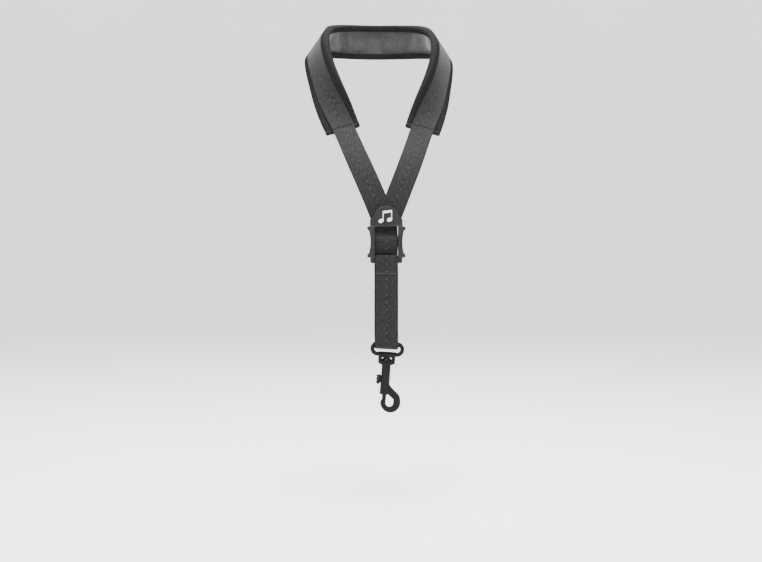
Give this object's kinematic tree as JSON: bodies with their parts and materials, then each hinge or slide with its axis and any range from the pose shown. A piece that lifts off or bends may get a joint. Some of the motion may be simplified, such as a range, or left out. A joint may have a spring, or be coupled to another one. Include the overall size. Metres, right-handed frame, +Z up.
{
  "type": "saxophone neck strap",
  "caption": "Padded neck strap with a sliding ladder-lock adjuster and a swivelling plastic snap hook that clips to an instrument's strap ring.",
  "frame": {"origin": "middle of the pad's skin face, where it rests on the nape of the neck", "axes": "+Z up along the hanging strap, -Y towards the front where the adjuster and hook hang, -X towards the wearer's right-hand side"},
  "size_m": [0.1696, 0.1649, 0.4352],
  "materials": {
    "lining": "soft knitted lining",
    "foam": "closed-cell foam",
    "cover": "matt knitted cloth",
    "binding": "ribbed elastic binding, matt",
    "webbing": "heather charcoal woven webbing",
    "thread": "twisted sewing thread",
    "plastic": "moulded acetal, semi-matt",
    "emblem": "satin",
    "spring_steel": "bright drawn wire"
  },
  "bodies": {
    "yoke": {"pad_lining": "lining", "pad_foam": "foam", "pad_cover": "cover", "neck_side_binding": "binding", "shoulder_side_binding": "binding", "pad_hem_left": "binding", "pad_hem_right": "binding", "neck_tape": "webbing", "pad_stitching_left": "thread", "pad_stitching_right": "thread", "strap_anchor": "webbing", "junction_stitching": "thread", "strap_upper_run": "webbing"},
    "adjuster": {"adjuster_frame": "plastic", "note_emblem": "emblem", "strap_weave": "webbing", "strap_end_loop": "webbing", "end_stitching": "thread", "strap_rear_run": "webbing", "strap_front_run": "webbing"},
    "strap_loop": {"strap_turn": "webbing"},
    "ring": {"swivel_ring": "plastic"},
    "hook": {"hook_body": "plastic", "swivel_post": "plastic", "bolt_spring": "spring_steel"},
    "bolt": {"thumb_bolt": "plastic"}
  },
  "joints": [
    {"name": "adjuster_slide", "type": "slide", "parent": "yoke", "child": "adjuster", "axis": [0, 0, 1], "range_m": [-0.1, 0], "deforming": ["strap_upper_run"]},
    {"name": "strap_feed", "type": "slide", "parent": "adjuster", "child": "strap_loop", "axis": [0, 0, 1], "range_m": [0, 0.05], "deforming": ["strap_rear_run", "strap_front_run"]},
    {"name": "ring_swing", "type": "hinge", "parent": "strap_loop", "child": "ring", "pos_m": [0.00162, -0.1503, -0.341], "axis": [0.9976, 0, -0.0698], "range_deg": [-65, 65]},
    {"name": "hook_swivel", "type": "hinge", "parent": "ring", "child": "hook", "pos_m": [0.0003, -0.1503, -0.35975], "axis": [0.0698, 0, 0.9976], "continuous": true},
    {"name": "bolt_slide", "type": "slide", "parent": "hook", "child": "bolt", "axis": [0.0698, 0, 0.9976], "range_m": [0, 0.006], "stiffness_N_per_m": 400, "springref_m": -0.004, "deforming": ["bolt_spring"]}
  ],
  "couplings": [
    {"joint": "strap_feed", "follows": "adjuster_slide", "ratio": -0.5}
  ]
}
